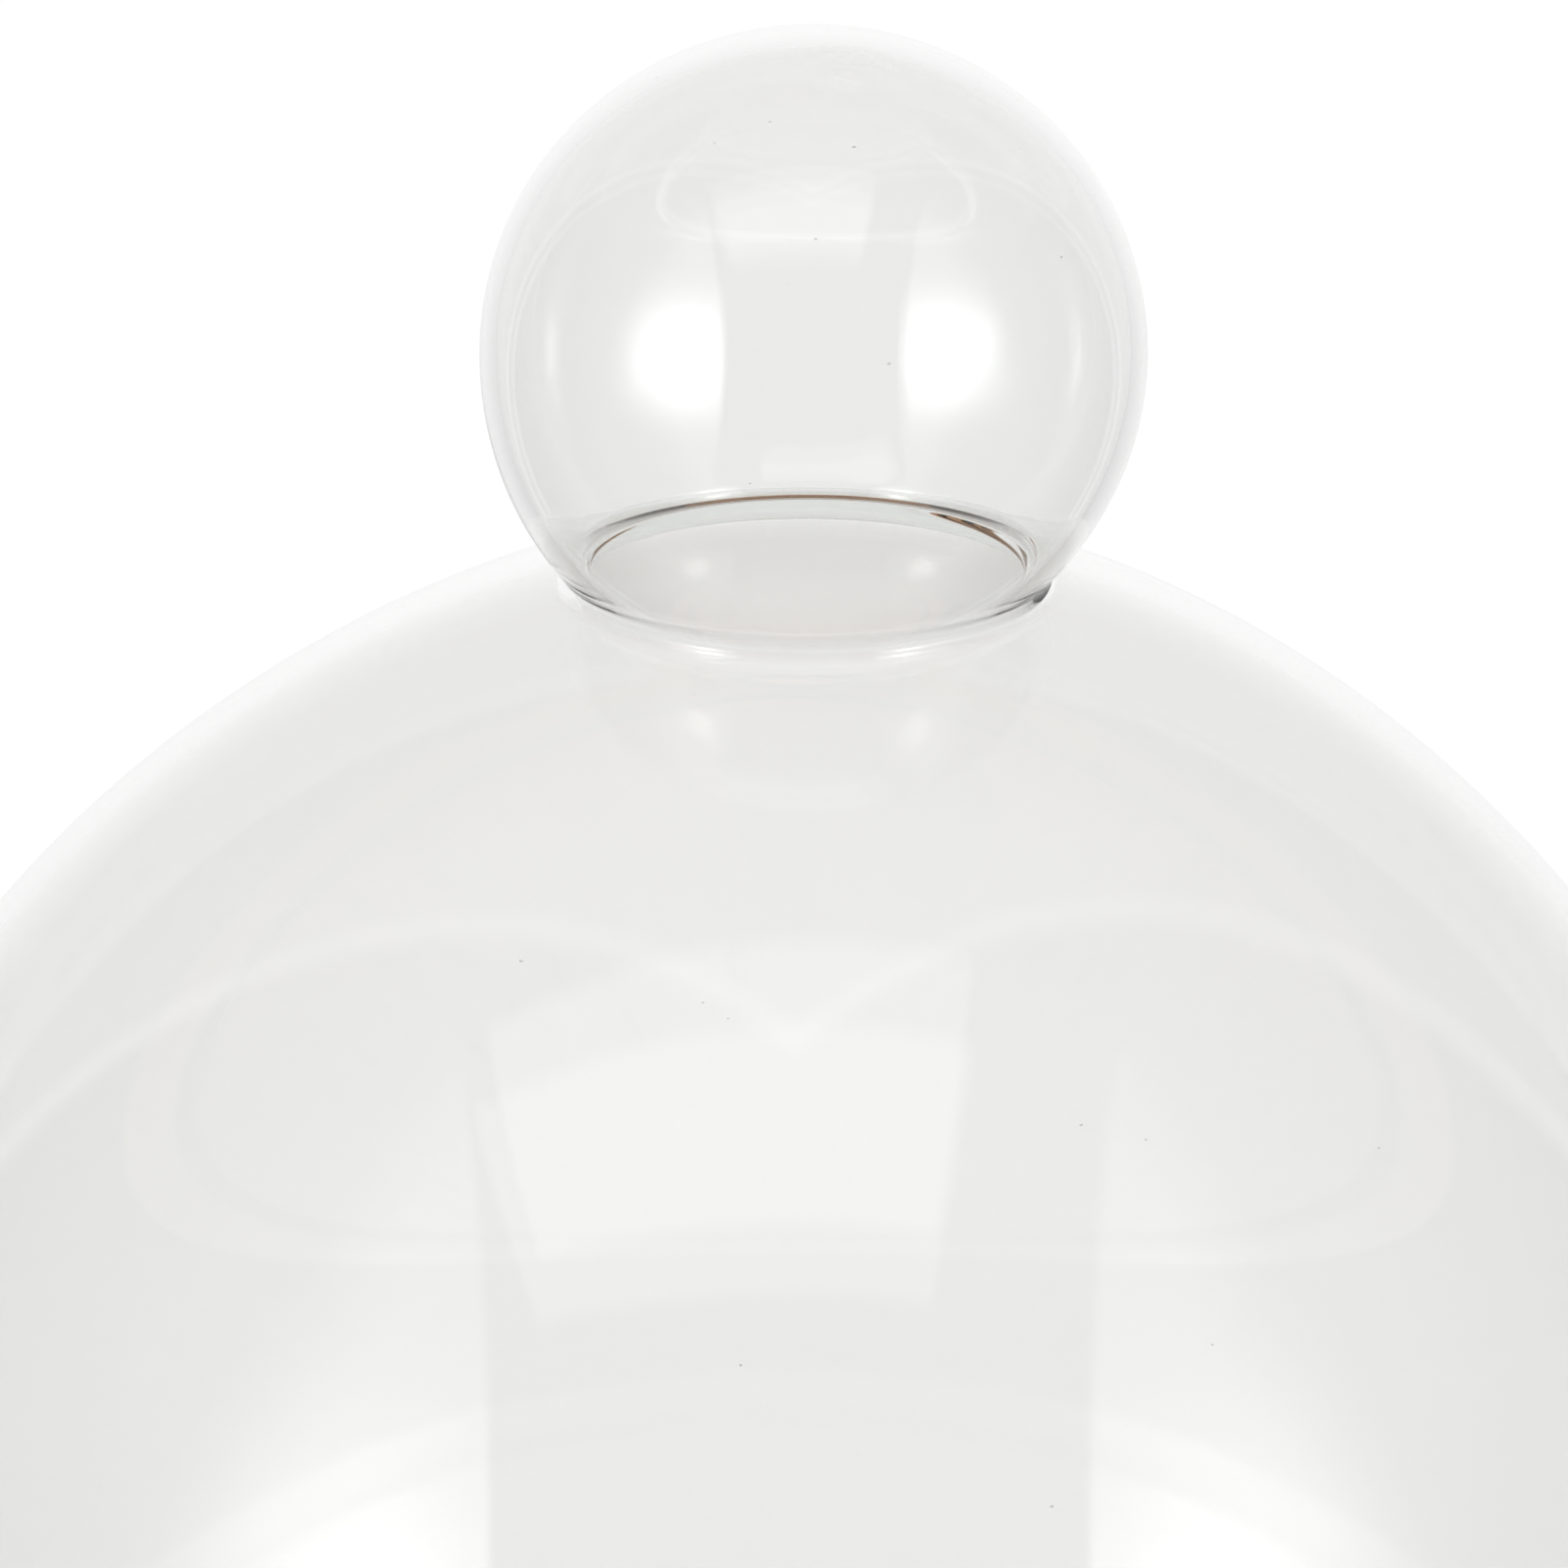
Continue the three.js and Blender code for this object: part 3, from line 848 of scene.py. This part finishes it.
# %% [markdown]
# ## The turned base
#
# The base is a disc turned from one board. Its edge has a quarter round above a fine bead line, the top has
# a groove that keeps the glass in place, and the field inside the groove is hollowed by a hair, so a
# display piece stands steady on its rim. Look along a turned face and you find faint rings from the gouge;
# they are modelled here, a few hundredths of a millimetre high.

# %% Turn the base
PLINTH_RADIUS = plinth_high.x / MM
PLINTH_LOW, PLINTH_TOP = plinth_low.z / MM, plinth_high.z / MM
GROOVE_OUTSIDE = felt_high.x / MM + 0.4
GROOVE_INSIDE = GROOVE_OUTSIDE - 6.0
GROOVE_FLOOR = felt_low.z / MM - 0.3
GOUGE_PITCH = 2.6 * MM
GOUGE_DEPTH = 0.025 * MM
BASE_SEGMENTS = 220

plinth_corners = [
    (0, PLINTH_LOW + 0.6), (96, PLINTH_LOW + 0.6), (96.8, PLINTH_LOW),
    (PLINTH_RADIUS - 1.5, PLINTH_LOW), (PLINTH_RADIUS, PLINTH_LOW + 1.5),
    (PLINTH_RADIUS, PLINTH_LOW + 9.6), (PLINTH_RADIUS - 0.9, PLINTH_LOW + 10.1),
    (PLINTH_RADIUS - 0.9, PLINTH_LOW + 10.7), (PLINTH_RADIUS, PLINTH_LOW + 11.2),
    (PLINTH_RADIUS, PLINTH_TOP), (GROOVE_OUTSIDE, PLINTH_TOP), (GROOVE_OUTSIDE, GROOVE_FLOOR),
    (GROOVE_INSIDE, GROOVE_FLOOR), (GROOVE_INSIDE, PLINTH_TOP),
    (GROOVE_INSIDE - 8, PLINTH_TOP), (0, PLINTH_TOP - 0.25),
]
plinth_radii = [0.3, 0.2, 0.6, 0.6, 0.35, 0.2, 0.2, 0.35, 7.0, 0.5, 0.3, 0.3, 0.5, 2.0]


def gouge_marks(place, index):
    """Rings on the top that only the tool leaves. They fade out at the rim."""
    reach = math.hypot(place.x, place.y)
    if place.z < (PLINTH_TOP - 0.6) * MM or reach > (PLINTH_RADIUS - 8) * MM:
        return place
    ring = math.sin(math.tau * reach / GOUGE_PITCH + 0.8 * noise.noise(place / (60 * MM)))
    return place - Vector((0, 0, GOUGE_DEPTH * (1 + ring)))


plinth_section = softened(plinth_corners, plinth_radii, run=0.9 * MM)
turned_base = turned("turned_base", plinth_section, BASE_SEGMENTS, moved=gouge_marks)
print("the base has", len(turned_base.data.polygons), "faces")

# %% [markdown]
# ## Wood from one board
#
# A board shows long lines where its growth rings are cut, wide in the middle and close at the sides. The
# rings are cylinders round the pith of the tree, which lies below this board and runs along it; the
# distance from that line gives the rings, and a little noise bends them. Pores are short dark dashes along
# the grain. The wax is a thin coat, and it is thinner where hands lift the base.

# %% Waxed wood
RING_PITCH = 0.0042
RING_BEND = 0.03
PITH_DEPTH = 0.075
WOOD_LIGHT = (0.46, 0.27, 0.16, 1.0)
WOOD_DARK = (0.27, 0.14, 0.075, 1.0)
WOOD_PORE = (0.03, 0.013, 0.007, 1.0)
WOOD_WORN = (0.36, 0.19, 0.10, 1.0)
WOOD_DUST = (0.55, 0.52, 0.48, 1.0)


def along_grain(tree, place, label, scale, detail):
    """A noise that is drawn out along the board, by a scale for each axis."""
    way = add(tree, "ShaderNodeMapping", values={"Vector": place, "Scale": scale}).outputs[0]
    drawn = {"Vector": way, "Scale": 1.0, "Detail": detail}
    return add(tree, "ShaderNodeTexNoise", label, drawn).outputs["Fac"]


def late_wood(tree, place):
    """0 in the pale early wood, rising to 1 at the dark end of each growth ring."""
    bend = along_grain(tree, place, "slow bends", (9.0, 2.2, 9.0), 3.0)
    axes = add(tree, "ShaderNodeSeparateXYZ", values={0: place}).outputs
    deep = maths(tree, "ADD", axes["Z"], PITH_DEPTH)
    reach = maths(tree, "SQRT", maths(tree, "ADD", maths(tree, "MULTIPLY", axes["X"], axes["X"]),
                                      maths(tree, "MULTIPLY", deep, deep)))
    bent = maths(tree, "MULTIPLY_ADD", bend, RING_BEND, reach)
    saw = maths(tree, "FRACT", maths(tree, "DIVIDE", bent, RING_PITCH))
    return maths(tree, "POWER", saw, 3.0)


def make_wood():
    material, tree, shader = finish_of("waxed_wood")
    place = add(tree, "ShaderNodeTexCoord").outputs["Object"]
    late = late_wood(tree, place)
    pores = along_grain(tree, place, "pores", (1500.0, 45.0, 1500.0), 2.0)
    pore = add(tree, "ShaderNodeMapRange", values={0: pores, 1: 0.60, 2: 0.72}).outputs[0]
    streaks = along_grain(tree, place, "streaks", (260.0, 7.0, 260.0), 5.0)
    streaky = maths(tree, "MULTIPLY_ADD", streaks, 0.9, -0.3)
    tone = maths(tree, "MULTIPLY_ADD", late, 0.55, streaky)
    plain = mixed(tree, tone, WOOD_LIGHT, WOOD_DARK)
    drift = place_group(tree, SLOW_CHANGE, {"Scale": 14.0, "Amount": 0.14, "Color": plain})
    pored = mixed(tree, maths(tree, "MULTIPLY", pore, 0.75), drift["Color"], WOOD_PORE)
    rubbed = place_group(tree, RUBBED_EDGES, {"From": 0.53, "To": 0.62, "Breakup": 90.0})["Mask"]
    worn = mixed(tree, maths(tree, "MULTIPLY", rubbed, 0.35), pored, WOOD_WORN)
    dust = place_group(tree, SETTLED_DUST, {"Amount": 0.35, "Scale": 1400.0})["Mask"]
    tree.links.new(mixed(tree, dust, worn, WOOD_DUST), shader.inputs["Base Color"])
    rough = maths(tree, "MULTIPLY_ADD", streaks, 0.16, 0.34)
    rough = maths(tree, "MULTIPLY_ADD", pore, 0.2, rough)
    tree.links.new(maths(tree, "MULTIPLY_ADD", dust, 0.4, rough), shader.inputs["Roughness"])
    tree.links.new(maths(tree, "MULTIPLY_ADD", rubbed, -0.12, 0.2), shader.inputs["Coat Weight"])
    shader.inputs["Coat Roughness"].default_value = 0.28
    shader.inputs["Specular IOR Level"].default_value = 0.35
    height = maths(tree, "MULTIPLY_ADD", pore, -1.0, maths(tree, "MULTIPLY", late, 0.4))
    bump = add(tree, "ShaderNodeBump", values={"Height": height, "Strength": 0.5, "Distance": 0.00006})
    tree.links.new(bump.outputs[0], shader.inputs["Normal"])
    return material


finish_piece(turned_base, make_wood(), "turned_wood", "base_plinth")
print("the growth rings are", RING_PITCH / MM, "mm apart")

# %% [markdown]
# ## The felt ring
#
# Felt is pressed wool. It has no crisp edge, its surface is a tangle, and where the glass stands it's
# pressed flat. So the section is softly rounded, a fine mesh is pushed about by noise, and a shallow track
# runs under the rim.

# %% Press the felt
FELT_SEGMENTS = 720
FELT_FUZZ = 0.11 * MM
TRACK_DEPTH = 0.16 * MM
felt_inside = GROOVE_INSIDE + 0.4
felt_outside = GROOVE_OUTSIDE - 0.4
felt_bottom, felt_top = felt_low.z / MM, felt_high.z / MM
felt_middle = (felt_inside + felt_outside) / 2
felt_corners = [
    (felt_middle, felt_bottom), (felt_outside, felt_bottom), (felt_outside, felt_top),
    (felt_inside, felt_top), (felt_inside, felt_bottom), (felt_middle, felt_bottom),
]


def fuzzy(place, index):
    reach = math.hypot(place.x, place.y)
    out = Vector((place.x, place.y, 0)) / reach
    from_track = (reach - RIM_MIDDLE) / (1.3 * MM)
    on_top = eased(felt_top * MM - 0.5 * MM, felt_top * MM, place.z)
    tangle = noise.noise(place / (0.55 * MM)) + 0.6 * noise.noise(place / (0.23 * MM))
    track = TRACK_DEPTH * math.exp(-from_track ** 2)
    side = math.copysign(1.0, reach - RIM_MIDDLE)
    sunk = Vector((0, 0, -1)) * on_top * (track + FELT_FUZZ * (1 + tangle) * 0.6)
    return place + sunk + out * side * FELT_FUZZ * tangle * (1 - on_top) * 0.6


felt_section = softened(felt_corners, [0.3, 0.5, 0.5, 0.3], run=0.3 * MM)[:-1]
felt_ring = turned("felt_ring", felt_section, FELT_SEGMENTS, closed=True, moved=fuzzy)
print("the felt has", len(felt_ring.data.polygons), "faces")

# %% [markdown]
# ## What felt is made of
#
# Up close, wool is a tangle of dark fibres with light flecks among them. The tangle drives the colour, the
# roughness and a bump at once, so the three agree: the colour is darker where the bump is low, partly as
# darker fibres and partly as painted shade in the hollows of the tangle. A weak sheen stands for the ends of
# the fibres.

# %% Wool felt
# The deepest wool colour is partly darker fibre and partly painted shade in the hollows of the tangle.
WOOL_DARK_FIBRE_AND_PAINTED_SHADE = (0.016, 0.014, 0.013, 1.0)
WOOL_TOP = (0.075, 0.066, 0.06, 1.0)
WOOL_FLECK = (0.2, 0.18, 0.165, 1.0)
WOOL_DUST = (0.45, 0.43, 0.4, 1.0)


def make_felt():
    material, tree, shader = finish_of("wool_felt")
    place = add(tree, "ShaderNodeTexCoord").outputs["Object"]
    tangle = add(tree, "ShaderNodeTexNoise", "tangle", {"Vector": place, "Scale": 2600.0, "Detail": 3.0})
    flecks = add(tree, "ShaderNodeTexVoronoi", "flecks", {"Vector": place, "Scale": 1100.0})
    near = {0: flecks.outputs["Distance"], 1: 0.2, 2: 0.05}
    fleck = add(tree, "ShaderNodeMapRange", values=near).outputs[0]
    # Painted shade: the bump's own noise mixes the felt from the deep colour, where the tangle is low, to the
    # top colour.
    wool = mixed(tree, tangle.outputs["Fac"], WOOL_DARK_FIBRE_AND_PAINTED_SHADE, WOOL_TOP)
    drift = place_group(tree, SLOW_CHANGE, {"Scale": 40.0, "Amount": 0.18, "Color": wool})
    flecked = mixed(tree, maths(tree, "MULTIPLY", fleck, 0.4), drift["Color"], WOOL_FLECK)
    dust = place_group(tree, SETTLED_DUST, {"Amount": 0.5, "Scale": 1700.0})["Mask"]
    tree.links.new(mixed(tree, dust, flecked, WOOL_DUST), shader.inputs["Base Color"])
    tree.links.new(maths(tree, "MULTIPLY_ADD", tangle.outputs["Fac"], 0.1, 0.86), shader.inputs["Roughness"])
    shader.inputs["Sheen Weight"].default_value = 0.5
    shader.inputs["Sheen Roughness"].default_value = 0.4
    raised = {"Height": tangle.outputs["Fac"], "Strength": 0.7, "Distance": 0.0002}
    bump = add(tree, "ShaderNodeBump", values=raised)
    tree.links.new(bump.outputs[0], shader.inputs["Normal"])
    return material


finish_piece(felt_ring, make_felt(), "wool_felt", "groove_felt")
print("the felt is dark grey wool with light flecks")

# %% [markdown]
# ## The foot pads
#
# Four moulded pads keep the base off the table. Each has a shallow cup with three fine ribs on its lower
# face, so it grips, and a soft edge from the mould. The frame gives each pad its own place; the same
# section serves all four.

# %% Mould the pads
PAD_SEGMENTS = 96
pad_low, pad_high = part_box("foot_pad_1")
PAD_RADIUS = (pad_high.x - pad_low.x) / 2 / MM
PAD_HEIGHT = (pad_high.z - pad_low.z) / MM
pad_corners = [(0, 0.35)]
for rib in (1.6, 3.6, 5.6):
    pad_corners += [(rib - 0.5, 0.35), (rib - 0.35, 0.1), (rib + 0.35, 0.1), (rib + 0.5, 0.35)]
pad_corners += [(7.0, 0.35), (7.3, 0), (PAD_RADIUS - 0.8, 0), (PAD_RADIUS, 0.8)]
pad_corners += [(PAD_RADIUS, PAD_HEIGHT - 0.5), (PAD_RADIUS - 0.2, PAD_HEIGHT), (0, PAD_HEIGHT)]
pad_radii = [0.08] * 12 + [0.1, 0.1, 0.5, 0.5, 0.15, 0.1]
pad_section = softened(pad_corners, pad_radii, run=0.7 * MM)


print("the section of a pad has", len(pad_section), "points")

# %% [markdown]
# ## Rubber
#
# Black rubber is never black: it bleaches where it rubs and holds dust. A fine grain from the mould breaks
# up the shine, and the rubbed edges turn chalky. The same finish serves the four pads.

# %% Pad rubber
RUBBER_BLACK = (0.035, 0.033, 0.031, 1.0)
RUBBER_CHALK = (0.12, 0.115, 0.11, 1.0)
RUBBER_DUST = (0.4, 0.38, 0.36, 1.0)


def make_rubber():
    material, tree, shader = finish_of("pad_rubber")
    place = add(tree, "ShaderNodeTexCoord").outputs["Object"]
    grain = add(tree, "ShaderNodeTexNoise", "grain", {"Vector": place, "Scale": 1800.0, "Detail": 4.0})
    drift = place_group(tree, SLOW_CHANGE, {"Scale": 120.0, "Amount": 0.2, "Color": RUBBER_BLACK})
    rubbed = place_group(tree, RUBBED_EDGES, {"From": 0.52, "To": 0.6, "Breakup": 300.0})["Mask"]
    chalky = mixed(tree, maths(tree, "MULTIPLY", rubbed, 0.5), drift["Color"], RUBBER_CHALK)
    dust = place_group(tree, SETTLED_DUST, {"Amount": 0.3, "Scale": 1500.0})["Mask"]
    tree.links.new(mixed(tree, dust, chalky, RUBBER_DUST), shader.inputs["Base Color"])
    tree.links.new(maths(tree, "MULTIPLY_ADD", grain.outputs["Fac"], 0.25, 0.6), shader.inputs["Roughness"])
    raised = {"Height": grain.outputs["Fac"], "Strength": 0.35, "Distance": 0.00008}
    bump = add(tree, "ShaderNodeBump", values=raised)
    tree.links.new(bump.outputs[0], shader.inputs["Normal"])
    return material


rubber = make_rubber()
for number in range(1, 5):
    low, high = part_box(f"foot_pad_{number}")
    middle = Vector(((low.x + high.x) / 2, (low.y + high.y) / 2, low.z))
    pad = turned(f"rubber_pad_{number}", pad_section, PAD_SEGMENTS, moved=lambda place, index: place + middle)
    finish_piece(pad, rubber, "pad_rubber", f"foot_pad_{number}")
print("the four pads have", len(pad.data.polygons), "faces each")

# %% [markdown]
# ## The camera
#
# The view is from a little above, through a long lens, so the dome keeps its true outline. It looks at the
# joint of ball and shoulder, close enough that only the top of the dome is in the frame. Glass needs many
# bounces: a ray that crosses ball and shoulder meets eight faces. The limits below allow for that, and no
# more.

# %% Place the camera
VIEW_HEIGHT = math.radians(20)
VIEW_DISTANCE = 1.5
FRAME_WIDTH = 166 * MM
LOOK_DOWN = 48 * MM

camera_data = bpy.data.cameras.new("studio_camera")
camera = bpy.data.objects.new("studio_camera", camera_data)
bpy.context.scene.collection.objects.link(camera)
bpy.context.scene.camera = camera
back = Vector((0, -math.cos(VIEW_HEIGHT), math.sin(VIEW_HEIGHT)))
camera.location = Vector((-0.6 * MM, 0, BALL_CENTRE - LOOK_DOWN)) + back * VIEW_DISTANCE
camera.rotation_euler = back.to_track_quat("Z", "Y").to_euler()
camera_data.lens = camera_data.sensor_width * VIEW_DISTANCE / FRAME_WIDTH
camera_data.clip_end = 50
bpy.context.scene.view_settings.view_transform = "Standard"
bpy.context.scene.cycles.diffuse_bounces = 2
bpy.context.scene.cycles.glossy_bounces = 8
bpy.context.scene.cycles.transmission_bounces = 14
bpy.context.scene.cycles.max_bounces = 16
print("the lens is", round(camera_data.lens), "mm long")
